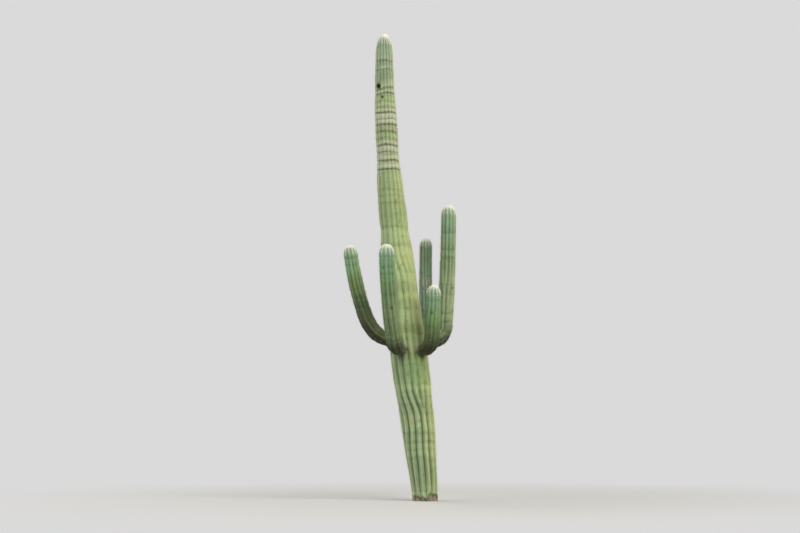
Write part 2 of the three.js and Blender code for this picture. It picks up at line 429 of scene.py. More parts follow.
def ring_marks(limb, along, turn, height, bow):
    """How far rings draw the skin in, how dark and pale it is, and the tone between them, with
    painted shade.
    """
    ripple = np.sin(2 * np.pi * WAVES_ROUND * turn + limb.phase) * np.sin(WAVES_ALONG * along)
    wavy = along + RING_WAVINESS * ripple + CREST_SAG * (height - 0.5) + bow
    if limb is trunk:
        wavy = wavy + RING_TILT * np.sin(2 * np.pi * turn)
    dark, pale, shade = (np.zeros_like(wavy) for _ in range(3))
    for at, darkness, paleness in limb.rings:
        dark += darkness * bell(wavy - at, RING_HALF)
        # Each ring also gets a wider, softer painted shade round its pinch.
        shade += darkness * bell(wavy - at, SHADE_HALF)
        pale += paleness * bell(wavy - at - PALE_OFFSET, PALE_HALF)
    for low, high in PALE_ZONES if limb is trunk else ():
        ending = smooth((high - wavy) / PALE_ZONE_FADES[1])
        pale += PALE_ZONE_STRENGTH * rise(wavy, low, PALE_ZONE_FADES[0]) * ending
    edges = np.concatenate([[0], limb.rings[:, 0], [limb.length]])
    middles = (edges[1:] + edges[:-1]) / 2
    tone = np.clip(np.interp(wavy, middles, limb.tones) - SHADE_STRENGTH * shade, -1, 1)
    return RING_DEPTH * dark, np.minimum(dark, 1), np.minimum(pale, 1), tone


print("growth rings:", {limb.name: len(limb.rings) for limb in limbs})

# %% [markdown]
# Some places on the skin are marked: the bird's nest hole high on the left with a smaller peck hole
# under it, the boss round each arm's neck and the darker skin below it, partly dull and partly
# painted shade, a dried patch on the arm behind, the sunned shoulder on the right, a yellowed spot
# low in front, a fresh green stretch under the short arm, and old wounds that have healed over with
# cork. Each is a point on the plant and a size. Close to a hole the ribs flatten, under an arm they
# spread, a wound sinks a little, and cork takes the place of green skin.

# %% Marked places
NEST = dict(height=6.205, heading=225, radius=0.033)
PECK = dict(height=6.04, heading=254, radius=0.014)
SHOULDER = dict(height=3.66, heading=-25, reach=0.42, sallow=0.62)
YELLOWED = dict(height=1.20, heading=250, reach=0.17, sallow=0.8)
FRESH = dict(height=1.93, heading=300, reach=0.36)
NECK_REACH = 0.15
NECK_SHADE_DROP = 0.09  # how far below an arm's neck the middle of the painted shade and dull skin lies
NECK_SHADE_REACH = 0.24
DRY_PATCH = np.array([0.02, 0.34, 3.28])
DRY_PATCH_REACH = 0.20
WOUND_PLACES = (0.15, 0.92)  # as shares of a limb's length
WOUND_SIZES = (0.02, 0.045)
WOUND_GROWTH = [1, 1, 1, 1.6]  # one wound in four is larger


def on_trunk(height, heading):
    angle = math.radians(heading)
    place = np.array([height])
    sideways = np.array([math.cos(angle), math.sin(angle), 0])
    return trunk_centre(place)[0] + trunk_radius(place)[0] * sideways


for spot in (NEST, PECK, SHOULDER, YELLOWED, FRESH):
    spot["point"] = on_trunk(spot["height"], spot["heading"])
for hole in (NEST, PECK):
    outward = hole["point"] - trunk_centre(np.array([hole["height"]]))[0]
    hole["outward"] = outward / np.linalg.norm(outward)


def near(points, place, reach):
    """1 at a place and 0 from reach outwards."""
    return smooth(1 - np.linalg.norm(points - place, axis=-1) / reach)


def near_spot(points, spot):
    return near(points, spot["point"], spot["reach"])


def scar_places(limb, count, seed):
    """Seeded wounds: each has a place on the skin, a third of the way down a pleat, and a radius."""
    draw = np.random.default_rng(seed)
    along = draw.uniform(*WOUND_PLACES, count) * limb.length
    turn = draw.uniform(0, 1, count)
    size = draw.uniform(*WOUND_SIZES, count) * draw.choice(WOUND_GROWTH, count)
    centre, out, side = limb.place(along)
    angle = (2 * np.pi * turn)[:, None]
    reach = (limb.radius(along) * (1 - limb.pleat(along) / 3))[:, None]
    return centre + reach * (np.cos(angle) * out + np.sin(angle) * side), size


trunk.scars = scar_places(trunk, 9, seed=160)
for number, limb in enumerate(arms):
    limb.scars = scar_places(limb, 3, seed=41 + number)
print("nest hole at", [round(v, 2) for v in NEST["point"]])

# %% [markdown]
# The skin is one sheet, with a row of points for each station along the limb and a column for each
# step round it. A grid primitive is added with just that many points, wrapped round the limb by its
# rows and columns, and welded along the seam and at the two ends, where the end row shrinks to one
# point. That keeps clean strips of four-sided faces along every rib, which a sculpt or a remesh
# wouldn't. What the finish needs to know is stored on the points as marks while they are worked out:
# the crest, the rings, cork and wool, and where the skin is sunned, waxy, old or fresh.

# %% The skin's shape and its cork
FADE_RADIUS = 0.08  # a limb thinner than this, near its tip, is less uneven
CORK_TOP = 0.04
CORK_CREST_RISE = 0.05  # how much higher the foot's cork climbs on a crest
CORK_FADE = 0.16
CORK_WAVES = [(2, 0, 0.022), (5, 0, 0.020), (9, 0, 0.014)]
HOLE_FLATTENING = 2.4  # in hole radii
HOLE_FLATNESS, HOLE_LEVEL = 0.85, 0.985  # how flat it gets there, and at which share of the radius
FRESH_FLATNESS, FRESH_LEVEL = 0.7, 0.95
NECK_BOSS = 0.012
FOOT_CORK, BOSS_CORK, ELBOW_CORK_AND_SHADE, NECK_CORK, WOUND_CORK = 0.78, 0.6, 0.46, 0.58, 0.8


def reach_of(limb, along, turn, height):
    """How far the skin is from the limb's line, and which way, before any marks."""
    centre, out, side = limb.place(along)
    wandering = waves(WANDER, along[:, None], turn, limb.phase)
    angle = 2 * np.pi * turn + limb.twist(along)[:, None] + wandering
    direction = np.cos(angle)[..., None] * out[:, None] + np.sin(angle)[..., None] * side[:, None]
    radius = limb.radius(along)[:, None]
    reach = radius * (1 - limb.pleat(along)[:, None] * (1 - height))
    swing = waves(UNEVENNESS, along[:, None], turn, limb.phase + 2)
    return centre[:, None], direction, reach + swing * smooth(radius / FADE_RADIUS)


def trunk_marks(points, along, turn, height, reach, radius):
    """The foot's cork, the holes' flattened rims, the spread ribs and the bosses at the arms."""
    climb = CORK_TOP + CORK_CREST_RISE * height + waves(CORK_WAVES, along, turn, phase=1.3)
    cork = FOOT_CORK * smooth((climb - along) / CORK_FADE + 0.5)
    for hole in (NEST, PECK):
        near_hole = near(points, hole["point"], hole["radius"] * HOLE_FLATTENING)
        reach = mix(reach, radius * HOLE_LEVEL, near_hole * HOLE_FLATNESS)
        cork = np.maximum(cork, smooth(near_hole * 2))
    reach = mix(reach, radius * FRESH_LEVEL, FRESH_FLATNESS * near_spot(points, FRESH))
    for limb in arms:
        near_neck = near(points, limb.neck, NECK_REACH)
        reach = reach + NECK_BOSS * near_neck
        cork = np.maximum(cork, BOSS_CORK * near_neck)
    return reach, cork


def arm_cork(limb, along, turn):
    """A little cork and painted shade under the elbow, where skin is oldest, more cork round the
    neck.
    """
    # Under the elbow this mark is partly painted shade, shown by the dark olive.
    under = rise(np.cos(2 * np.pi * turn), start=-0.7, over=1.3)
    low = 1 - rise(along, start=limb.bend_end * 0.5, over=limb.bend_end * 0.8)
    neck = 1 - rise(along, start=ARM_ROOT_DEPTH + 0.01, over=0.14)
    return np.maximum(ELBOW_CORK_AND_SHADE * under * low, NECK_CORK * neck)


# %% [markdown]
# Three more marks say what the years did to the colour, and carry painted light and shade as well.
# Sun yellows the side that it falls on, and that yellow is partly painted warm sunlight. Bluish wax
# lies on the other side and on young skin near the tips, and on that side it is partly painted cool
# skylight. Age darkens what is old or bare, and the same mark lays painted shade just below each
# arm's neck. Each is a share from 0 to 1, and eases in over a stretch of the limb. A stretch is in
# metres along the limb or back from its tip, and was set by where the colour changes on the plant.

# %% Sun, wax and years, with painted light and shade
TRUNK_SALLOW_AND_SUNLIGHT, FOOT_SALLOW_AND_SUNLIGHT = 0.34, 0.3  # the second is the share of it that reaches the foot
LOW_WAX_AND_SKYLIGHT, HIGH_WAX_AND_SKYLIGHT = 0.5, 0.12
TIP_WAX, TIP_FRONT_WAX = 0.20, 0.45
FOOT_AGE, TOP_AGE, FRONT_AGE, BARE_AGE = 0.08, 0.18, 0.24, 0.22
ARM_SHADED_SALLOW = 0.45
ARM_TIP_WAX = 0.85
SUN_AGAINST_AGE = 0.65


def trunk_sun(points, direction, along, to_tip, rightwards):
    """The trunk is sunned on the right and waxy on the left, partly painted warm and cool light,
    and aged where it is old or bare, with painted shade below each arm's neck.
    """
    frontwards, leftwards = smooth(-direction[..., 1] * 1.2), smooth(-direction[..., 0] + 0.2)
    above_foot = mix(FOOT_SALLOW_AND_SUNLIGHT, 1, rise(along, start=1.2, over=1.5))
    # The yellow on the right side is partly sun-yellowed skin and partly painted warm sunlight.
    sallow = TRUNK_SALLOW_AND_SUNLIGHT * rightwards * above_foot * rise(to_tip, start=0.1, over=0.8)
    for spot in (SHOULDER, YELLOWED):
        sallow = np.maximum(sallow, spot["sallow"] * near_spot(points, spot))
    # The blue on the left side is partly wax and partly painted cool skylight.
    wax = (1 - rightwards) * mix(LOW_WAX_AND_SKYLIGHT, HIGH_WAX_AND_SKYLIGHT, rise(along, start=1.4, over=1.2))
    near_tip = 1 - rise(to_tip, start=0.3, over=0.7)
    wax = wax + (TIP_WAX + TIP_FRONT_WAX * frontwards) * near_tip
    age = FOOT_AGE * (1 - rise(along, start=0.4, over=1.8))
    age = age + TOP_AGE * rise(along, start=5.85, over=0.5)
    age = age + FRONT_AGE * frontwards * rise(along, start=4.3, over=0.8)
    bare = rise(along, start=3.6, over=0.4) * (1 - rise(along, start=4.75, over=0.2))
    age = age + BARE_AGE * leftwards * bare
    # Just below each arm's neck the skin is darker, partly dull old skin and partly painted shade.
    for arm in arms:
        age = np.maximum(age, near(points, arm.neck - NECK_SHADE_DROP * UP, NECK_SHADE_REACH))
    return sallow, wax, age


def arm_sun(limb, to_tip, rightwards):
    """An arm is sunned and waxed as its own row says, both partly painted light, and ages from its
    tip to its bend.
    """
    # An arm's right side gets more yellow, partly as painted warm sunlight.
    sunned = mix(ARM_SHADED_SALLOW, 1, rightwards) * rise(to_tip, start=0.4, over=0.8)
    wax = mix(ARM_TIP_WAX, limb.wax, rise(to_tip, start=0.1, over=0.5))
    age = rise(to_tip, start=0.3, over=0.7 * (limb.length - limb.bend_end))
    return limb.sun * sunned, wax, age * (1 - SUN_AGAINST_AGE * limb.sun)


# %% From rule to skin
POINTS_PER_RIB = 8
WELD = 2e-5
POLE_SHARE = 0.05
WOUND_DEPTH = 0.004
NEST_BOW_REACH = 0.24
WOOL_REACH = 0.065
DRIED_CORK, DRIED_WOOL = 0.26, 0.42
EVEN_TRUNK = 0.90  # how far the upper trunk's skin is one tone from valley to crest
EVEN_ARM = 0.4  # the same for the arms
EVEN_CREST = 0.925


def skin_points(limb, along, turn, height):
    """Every point of a limb's skin, with its marks."""
    centre, direction, reach = reach_of(limb, along, turn, height)
    points = centre + reach[..., None] * direction
    radius = limb.radius(along)[:, None] + 0 * turn
    along = along[:, None] + 0 * turn
    to_tip = limb.length - along
    rightwards = smooth(direction[..., 0] * 0.8 + 0.1)
    if limb is trunk:
        reach, cork = trunk_marks(points, along, turn, height, reach, radius)
        sallow, wax, age = trunk_sun(points, direction, along, to_tip, rightwards)
        bow = NEST_BOW * near(points, NEST["point"], NEST_BOW_REACH)
        evenness = EVEN_TRUNK * rise(along, start=1.0, over=1.4)
    else:
        cork = arm_cork(limb, along, turn)
        sallow, wax, age = arm_sun(limb, to_tip, rightwards)
        bow, evenness = 0, EVEN_ARM
    for place, size in zip(*limb.scars):
        wound = near(points, place, size)
        reach = reach - WOUND_DEPTH * smooth(wound * 2)
        cork = np.maximum(cork, WOUND_CORK * wound)
    drawn_in, dark, pale, tone = ring_marks(limb, along, turn, height, bow)
    reach = reach - drawn_in * smooth(radius / FADE_RADIUS)
    dried = near(points, DRY_PATCH, DRY_PATCH_REACH)
    wool = np.maximum(smooth((WOOL_REACH - to_tip) / WOOL_REACH), DRIED_WOOL * dried)
    marks = dict(crest=mix(height, EVEN_CREST, evenness), dark=dark, pale=pale, tone=tone,
                 cork=np.maximum(cork, DRIED_CORK * dried), wool=wool, sallow=sallow, wax=wax,
                 age=age, fresh=near_spot(points, FRESH))
    return centre + reach[..., None] * direction, marks


def weld(thing):
    """Joins points that lie on one another and turns every face outwards."""
    take(thing)
    bpy.ops.object.mode_set(mode="EDIT")
    bpy.ops.mesh.select_all(action="SELECT")
    bpy.ops.mesh.remove_doubles(threshold=WELD)
    bpy.ops.mesh.normals_make_consistent(inside=False)
    bpy.ops.object.mode_set(mode="OBJECT")


def mesh_points(thing):
    flat = np.empty(len(thing.data.vertices) * 3)
    thing.data.vertices.foreach_get("co", flat)
    return flat.reshape(-1, 3)


def move_points(thing, places):
    thing.data.vertices.foreach_set("co", places.ravel())
    thing.data.update()


def wrap_sheet(name, points, marks):
    """A grid wrapped to points, a table of rows and columns, and welded into one closed skin."""
    rows, columns = points.shape[:2]
    let_go()
    bpy.ops.mesh.primitive_grid_add(x_subdivisions=columns, y_subdivisions=rows - 1, size=2)
    sheet = bpy.context.object
    sheet.name = sheet.data.name = name
    across, up, _ = mesh_points(sheet).T
    column = np.rint((across + 1) / 2 * columns).astype(int) % columns
    row = np.rint((up + 1) / 2 * (rows - 1)).astype(int)
    move_points(sheet, points[row, column])
    for mark, values in marks.items():
        attribute = sheet.data.attributes.new(mark, "FLOAT", "POINT")
        attribute.data.foreach_set("value", values[row, column].astype(np.float32))
    weld(sheet)
    bpy.ops.object.shade_smooth()
    return sheet


def spread(stretches):
    """Stations along a limb, with its own spacing in each stretch: start, end and spacing."""
    return np.concatenate([np.arange(start, end - spacing / 2, spacing)
                           for start, end, spacing in stretches])


def dome_stations(start, end, count):
    """Stations over a dome, closer together towards its pole and ending just before it."""
    last = math.acos(POLE_SHARE)
    return start + (end - start) * np.sin(last * np.arange(count) / (count - 1))


def make_skin(limb, stretches, dome_start, dome_rows):
    """The skin over stations, closed by a point at each end."""
    dome_part = dome_stations(dome_start, limb.length, dome_rows)
    stations = np.concatenate([spread(stretches), dome_part])
    turn, height = pleats(limb, stations, POINTS_PER_RIB)
    points, marks = skin_points(limb, stations, turn, height)
    ends = limb.place(np.array([stations[0], limb.length]))[0]
    first, last = (np.broadcast_to(end, points[0].shape)[None] for end in ends)
    points = np.concatenate([first, points, last])
    marks = {mark: np.concatenate([values[:1], values, values[-1:]])
             for mark, values in marks.items()}
    return wrap_sheet(limb.name + "_skin", points, marks)


# %% The trunk's skin
TRUNK_STRETCHES = [  # start, end and spacing: finer by the foot's cork and the nest hole
    (0, 0.36, 0.0060), (0.36, 6.10, 0.0118), (6.10, 6.34, 0.0060), (6.34, CROWN_START, 0.0105),
]
trunk_skin = make_skin(trunk, TRUNK_STRETCHES, CROWN_START, dome_rows=40)
print("trunk skin:", len(trunk_skin.data.vertices), "points")

# %% The arms' skins
ARM_SPACING = 0.0075
arm_skins = {}
for limb in arms:
    width_half_way = limb.radius(np.array([limb.length / 2]))[0]
    closing = limb.length - width_half_way * ARM_CROWN_SHARE
    arm_skins[limb.name] = make_skin(limb, [(0, closing, ARM_SPACING)], closing, dome_rows=26)
print("arm skins:", {name: len(skin.data.vertices) for name, skin in arm_skins.items()})
skins = {"trunk": trunk_skin, **arm_skins}

# %% [markdown]
# Living skin is not glass. Two Displace modifiers give it relief: a soft one all over, and a rougher
# one of cracked plates where there is cork. The second is held to the cork by a vertex group made
# from the cork mark. Both read a procedural texture in the object's own space, and are applied at
# once.

# %% Relief of the skin and the cork
SKIN_RELIEF = 0.0022
CORK_RELIEF = 0.0075
WEIGHT_STEPS = 10


def relief_texture(name, kind, size, **settings):
    texture = bpy.data.textures.new(name, kind)
    set_all(texture, dict(noise_scale=size, **settings))
    return texture


soft_relief = relief_texture("soft_relief", "CLOUDS", size=0.07)
cork_plates = relief_texture("cork_plates", "VORONOI", size=0.022, weight_1=-1, weight_2=1)


def mark_values(thing, mark):
    values = np.empty(len(thing.data.vertices), dtype=np.float32)
    thing.data.attributes[mark].data.foreach_get("value", values)
    return values


def group_from_mark(thing, mark):
    """A vertex group that follows a mark, in ten steps of weight."""
    group = thing.vertex_groups.new(name=mark)
    steps = np.rint(mark_values(thing, mark) * WEIGHT_STEPS).astype(int)
    for step in range(1, WEIGHT_STEPS + 1):
        members = np.nonzero(steps == step)[0].tolist()
        if members:
            group.add(members, step / WEIGHT_STEPS, "REPLACE")
    return group.name


for skin in skins.values():
    cork_group = group_from_mark(skin, "cork")
    apply_modifier(skin, "DISPLACE", texture=soft_relief, strength=SKIN_RELIEF, mid_level=0.5)
    apply_modifier(skin, "DISPLACE", texture=cork_plates, strength=CORK_RELIEF, mid_level=0.5,
                   vertex_group=cork_group)
print("relief on", len(skins), "skins")

# %% [markdown]
# The foot of the trunk is a flat cut at ground level, so whatever relief pushed below the ground is
# set back level with it. A woodpecker's nest in a saguaro is a small round doorway into a
# flask-shaped room, and the plant lines both with cork. It is cut as a carpenter would: a doorway
# tube and a room, both turned to face outwards, are taken out of the trunk with Boolean modifiers.
# The new walls then get the full cork mark.

# %% The flat cut and the nest holes
DOOR_FLARE, DOOR_TAPER = 1.25, 0.92  # the doorway's outer and inner end, in hole radii
DOOR_SILL = 0.02  # how far the doorway tube stands out of the skin before it is cut
DOOR_REACH = 0.1
ROOM_BEHIND, ROOM_BELOW = 0.2, 0.4  # how far from the doorway's end, in room sizes
ROOM_MARGIN = 1.02
SHARP_ANGLE = math.radians(50)


def level_foot(skin):
    places = mesh_points(skin)
    places[:, 2] = np.maximum(places[:, 2], 0)
    move_points(skin, places)


def settle(thing):
    """Puts an object's place into its mesh."""
    take(thing)
    bpy.ops.object.transform_apply(location=True, rotation=True, scale=True)


def carve(skin, cutter, centre, outward):
    """Takes a cutter, turned to face outwards, out of a skin."""
    cutter.location = Vector(centre)
    cutter.rotation_euler = Vector(outward).to_track_quat("Z", "Y").to_euler()
    settle(cutter)
    apply_modifier(skin, "BOOLEAN", operation="DIFFERENCE", object=cutter, solver="EXACT")
    bpy.data.objects.remove(cutter)


def line_with_cork(skin, hole, room, room_size):
    """The full cork mark on the walls of a doorway and its room."""
    places = mesh_points(skin)
    from_door = places - hole["point"]
    along_axis = from_door @ hole["outward"]
    off_axis = np.linalg.norm(from_door - np.outer(along_axis, hole["outward"]), axis=1)
    in_doorway = (off_axis < hole["radius"] * DOOR_FLARE) & (np.abs(along_axis) < DOOR_REACH)
    in_room = np.linalg.norm(places - room, axis=1) < room_size * ROOM_MARGIN
    values = mark_values(skin, "cork")
    values[in_doorway | in_room] = 1
    skin.data.attributes["cork"].data.foreach_set("value", values)


def carve_hole(skin, hole, depth, room_size):
    """A doorway that narrows inwards, with a round room behind and below it."""
    point, outward = hole["point"], hole["outward"]
    let_go()
    bpy.ops.mesh.primitive_cone_add(vertices=40, radius1=hole["radius"] * DOOR_TAPER,
                                    radius2=hole["radius"] * DOOR_FLARE, depth=depth)
    carve(skin, bpy.context.object, point - outward * (depth / 2 - DOOR_SILL), outward)
    behind = depth + room_size * ROOM_BEHIND - DOOR_SILL
    room = point - outward * behind - [0, 0, ROOM_BELOW * room_size]
    let_go()
    bpy.ops.mesh.primitive_uv_sphere_add(segments=32, ring_count=20, radius=room_size)
    carve(skin, bpy.context.object, room, outward)
    line_with_cork(skin, hole, room, room_size)


level_foot(trunk_skin)
carve_hole(trunk_skin, NEST, depth=0.095, room_size=0.052)
carve_hole(trunk_skin, PECK, depth=0.060, room_size=0.016)
weld(trunk_skin)
for skin in skins.values():
    take(skin)
    bpy.ops.object.shade_smooth_by_angle(angle=SHARP_ANGLE)
print("trunk skin after carving:", len(trunk_skin.data.vertices), "points")

# %% [markdown]
# Along every crest sit the areoles: oval pads of grey felt, some 24 mm apart, each with a rosette
# of spines. One pad is an ico sphere, flattened and sunk to its waist. A rosette is made of slim
# three-sided cones: a ring of short radial spines lying close to the skin, and a few long ones that
# stand out. Six rosettes are modelled, each a little different, and every areole gets one of them.
# Over the tips the spines are denser and more upright, so the crowns have three of their own.

# %% A felt pad and the rosettes
PAD_HALF_SIZES = (0.0046, 0.0064, 0.0036)  # across the rib, along it and out of it
SPINE_THICKNESS = 0.0016  # radius at the foot of a stout spine
MIDDLE_SPINE = 0.034
RADIAL = dict(count=15, lift=(14, 46), length=(0.020, 0.032), thickness=0.8)
CENTRAL = dict(count=6, lift=(48, 80), length=(0.032, 0.047), thickness=1.0)
CROWN = dict(count=26, lift=(34, 86), length=(0.026, 0.044), thickness=0.8)
DISORDER = (-0.35, 0.35)  # how far a spine is off its even place, in places
ROSETTE_COUNT = 6
CROWN_ROSETTE_COUNT = 3


def take_arrays(thing):
    """The points and triangles of a model, which is then cleared away."""
    thing.data.calc_loop_triangles()
    faces = np.array([triangle.vertices for triangle in thing.data.loop_triangles])
    points = mesh_points(thing)
    bpy.data.objects.remove(thing)
    return points, faces


def model_pad():
    let_go()
    bpy.ops.mesh.primitive_ico_sphere_add(subdivisions=1, radius=1)
    pad = bpy.context.object
    pad.scale = PAD_HALF_SIZES
    settle(pad)
    return take_arrays(pad)


def add_cone(length, thickness, **placing):
    bpy.ops.mesh.primitive_cone_add(vertices=3, radius1=thickness, radius2=0, depth=length,
                                    **placing)


def add_spine(azimuth, lift, length, thickness):
    """One cone in the mesh being edited, leaning from the pad's middle; lift is its angle."""
    flat = math.cos(lift)
    way = Vector((math.cos(azimuth) * flat, math.sin(azimuth) * flat, math.sin(lift)))
    turn = way.to_track_quat("Z", "Y").to_euler()
    add_cone(length, thickness, location=way * length / 2, rotation=turn)


def add_whorl(kind, draw):
    """A ring of spines of one kind, evenly spread with a little disorder."""
    for k in range(kind["count"]):
        azimuth = 2 * math.pi * (k + draw.uniform(*DISORDER)) / kind["count"] - math.pi / 2
        lift = math.radians(draw.uniform(*kind["lift"]))
        length = draw.uniform(*kind["length"])
        add_spine(azimuth, lift, length, SPINE_THICKNESS * kind["thickness"])


def model_rosette(kinds, seed):
    draw = np.random.default_rng(seed)
    let_go()
    add_cone(MIDDLE_SPINE, SPINE_THICKNESS, location=(0, 0, MIDDLE_SPINE / 2))
    rosette = bpy.context.object
    bpy.ops.object.mode_set(mode="EDIT")
    for kind in kinds:
        add_whorl(kind, draw)
    bpy.ops.object.mode_set(mode="OBJECT")
    return take_arrays(rosette)


felt_pad = model_pad()
rosettes = [model_rosette([RADIAL, CENTRAL], seed) for seed in range(ROSETTE_COUNT)]
crown_rosettes = [model_rosette([CROWN], 10 + seed) for seed in range(CROWN_ROSETTE_COUNT)]
print("faces: pad", len(felt_pad[1]), "rosette", len(rosettes[0][1]),
      "crown rosette", len(crown_rosettes[0][1]))

# %% [markdown]
# Where the areoles go follows the ribs. Each crest line is walked from the foot to the tip, with
# shorter steps near the tip, where the youngest areoles crowd together. At each step a ray is cast
# from outside onto the finished skin, so that a pad sits on the real surface, relief and all. Where
# the skin is cork, most areoles have dropped off, and none sit in a doorway or under an arm's neck.

# %% Walking the crests
TRUNK_AREOLES = dict(start=0.05, step=0.024)
ARM_AREOLES = dict(start=ARM_ROOT_DEPTH + 0.04, step=0.022)
TIP_AREOLE_STEP = 0.0085
TIP_CROWDING = 0.22
TIP_MARGIN = 0.004
STEP_SPREAD = (0.9, 1.1)
CREST_LINE, FORK_LINES = 0.5, (0.25, 0.75)  # places across a rib
SECOND_LINE_START = 0.3  # how far a fork has opened where its second line starts
PARTING_SPEED = 1.6  # how much sooner the two lines part than the new valley opens
TANGENT_STEP = 0.004
LOWER_END, UPPER_END = 0.001, 0.0005  # how near the tip the tangent's two points may come
RAY_START, RAY_DEPTH = 0.06, 0.03
LANDING_RANGE = 0.022  # a ray that lands farther from the rule's skin is dropped
CORK_BARENESS = 0.9
HOLE_CLEARANCE = 1.5  # in hole radii
NECK_CLEARANCE = 0.085


def crest_turn(limb, rib, line, here):
    """The turn of a rib's crest line at a place, or nothing where a fork's line hasn't started."""
    openings = {r: float(v[0]) for r, v in fork_openings(limb, np.array([here])).items()}
    opened = openings.get(rib, 0.0)
    if line == FORK_LINES[1] and opened <= SECOND_LINE_START:
        return None
    before = rib + sum(other for r, other in openings.items() if r < rib)
    across = mix(CREST_LINE, line, smooth(opened * PARTING_SPEED))
    return (before + across * (1 + opened)) / (limb.ribs + sum(openings.values()))


def crest_walk(limb, start, step, draw):
    """Places along and round a limb, one for each areole on each crest line."""
    places = []
    for rib in range(limb.ribs):
        for line in FORK_LINES if rib in dict(limb.forks) else (CREST_LINE,):
            here = start + draw.uniform(0, step)
            while here < limb.length - TIP_MARGIN:
                turn = crest_turn(limb, rib, line, here)
                if turn is not None:
                    places.append((here, turn))
                closing = smooth((here - limb.length + TIP_CROWDING) / TIP_CROWDING)
                here += mix(step, TIP_AREOLE_STEP, closing) * draw.uniform(*STEP_SPREAD)
    return np.array(places).T


def bare_points(limb, along, turn):
    """The skin's points at single places, before relief."""
    centre, direction, reach = reach_of(limb, along, turn[:, None], np.ones((len(along), 1)))
    return (centre + reach[..., None] * direction)[:, 0], direction[:, 0]


def unit(vectors):
    return vectors / np.maximum(np.linalg.norm(vectors, axis=-1, keepdims=True), 1e-9)


def areole_frames(limb, along, turn):
    """Where each areole sits and its own axes: across the rib, up the rib and out of the skin."""
    lower = np.clip(along - TANGENT_STEP, 0, limb.length - LOWER_END)
    upper = np.clip(along + TANGENT_STEP, 0, limb.length - UPPER_END)
    above, direction = bare_points(limb, upper, turn)
    up = unit(above - bare_points(limb, lower, turn)[0])
    out = unit(direction - up * np.sum(direction * up, axis=1, keepdims=True))
    return bare_points(limb, along, turn)[0], np.stack([np.cross(up, out), up, out], axis=-1)


def settle_on_skin(tree, points, frames):
    """Each point moved along its own outward axis to where it meets the skin, and whether it did."""
    landed, found = points.copy(), np.zeros(len(points), bool)
    for k, (point, axes) in enumerate(zip(points, frames)):
        out = Vector(axes[:, 2])
        start = Vector(point) + out * RAY_START
        hit, _, _, distance = tree.ray_cast(start, -out, RAY_START + RAY_DEPTH)
        if hit is not None and abs(distance - RAY_START) < LANDING_RANGE:
            landed[k], found[k] = hit, True
    return landed, found


def cork_at(skin, tree, points):
    values = mark_values(skin, "cork")
    faces = [skin.data.polygons[tree.find_nearest(Vector(point))[2]] for point in points]
    return np.array([values[face.vertices[0]] for face in faces])


def grow_areoles(limb, skin, start, step, seed):
    """All areoles of a limb that are still alive."""
    draw = np.random.default_rng(seed)
    along, turn = crest_walk(limb, start, step, draw)
    points, frames = areole_frames(limb, along, turn)
    tree = BVHTree.FromObject(skin, bpy.context.evaluated_depsgraph_get())
    points, found = settle_on_skin(tree, points, frames)
    lost = cork_at(skin, tree, points) * CORK_BARENESS
    kept = found & (draw.uniform(0, 1, len(along)) > lost)
    bare_spots = [(hole["point"], hole["radius"] * HOLE_CLEARANCE) for hole in (NEST, PECK)]
    if limb is trunk:
        bare_spots += [(arm.neck, NECK_CLEARANCE) for arm in arms]
    for place, clearance in bare_spots:
        kept &= np.linalg.norm(points - place, axis=1) > clearance
    return SimpleNamespace(limb=limb, along=along[kept], points=points[kept], frames=frames[kept])


areoles = {"trunk": grow_areoles(trunk, trunk_skin, **TRUNK_AREOLES, seed=61)}
for number, (limb, skin) in enumerate(zip(arms, arm_skins.values())):
    areoles[limb.name] = grow_areoles(limb, skin, **ARM_AREOLES, seed=71 + number)
print("areoles:", {name: len(grown.along) for name, grown in areoles.items()})

# %% [markdown]
# Thousands of rosettes and pads would drown a scene as objects. They are placed in arrays instead:
# a prototype's points are turned, sized and moved for every areole at once, and joined into one mesh
# with one plain colour. Young spines near the tips are pale, those of the middle years
# straw-coloured, the oldest ones by the foot are dull, and those under the arms' bends have
# weathered to a dark grey and are darkened further with their felt as painted shade, so they are
# separate pieces.

# %% Joined copies
SPINE_SIZES = (0.8, 1.15)
SPINE_TURNS = (-0.5, 0.5)
PAD_SIZES = (0.85, 1.15)


def place_copies(prototypes, points, frames, sizes, choice):
    """The points and triangles of a prototype at each place, where choice says which goes there."""
    all_points, all_faces, offset = [], [], 0
    for which, (shape, faces) in enumerate(prototypes):
        here = np.nonzero(choice == which)[0]
        scaled = shape[None] * sizes[here][:, None, :]
        placed = np.einsum("nij,nkj->nki", frames[here], scaled) + points[here][:, None]
        copies = np.arange(len(here))[:, None, None] * len(shape)
        all_points.append(placed.reshape(-1, 3))
        all_faces.append((faces[None] + copies).reshape(-1, 3) + offset)
        offset += len(here) * len(shape)
    return np.concatenate(all_points), np.concatenate(all_faces)


def joined_mesh(name, places, faces):
    corners = faces.ravel()
    mesh = bpy.data.meshes.new(name)
    mesh.vertices.add(len(places))
    mesh.vertices.foreach_set("co", places.ravel())
    mesh.loops.add(len(corners))
    mesh.loops.foreach_set("vertex_index", corners)
    mesh.polygons.add(len(faces))
    mesh.polygons.foreach_set("loop_start", np.arange(0, len(corners), 3))
    mesh.update(calc_edges=True)
    return new_object(name, mesh)


def turned(frames, angles):
    """Frames turned about their own outward axis."""
    cos, sin = np.cos(angles)[:, None], np.sin(angles)[:, None]
    across, up, out = frames[..., 0], frames[..., 1], frames[..., 2]
    return np.stack([across * cos + up * sin, up * cos - across * sin, out], axis=-1)


def spines_on(name, shapes, grown, which, length, draw):
    """One of the rosettes on each chosen areole."""
    points, frames = grown.points[which], grown.frames[which]
    sizes = length * draw.uniform(*SPINE_SIZES, (len(points), 1)) * [[1, 1, 1]]
    choice = draw.integers(0, len(shapes), len(points))
    frames = turned(frames, draw.uniform(*SPINE_TURNS, len(points)))
    return joined_mesh(name, *place_copies(shapes, points, frames, sizes, choice))


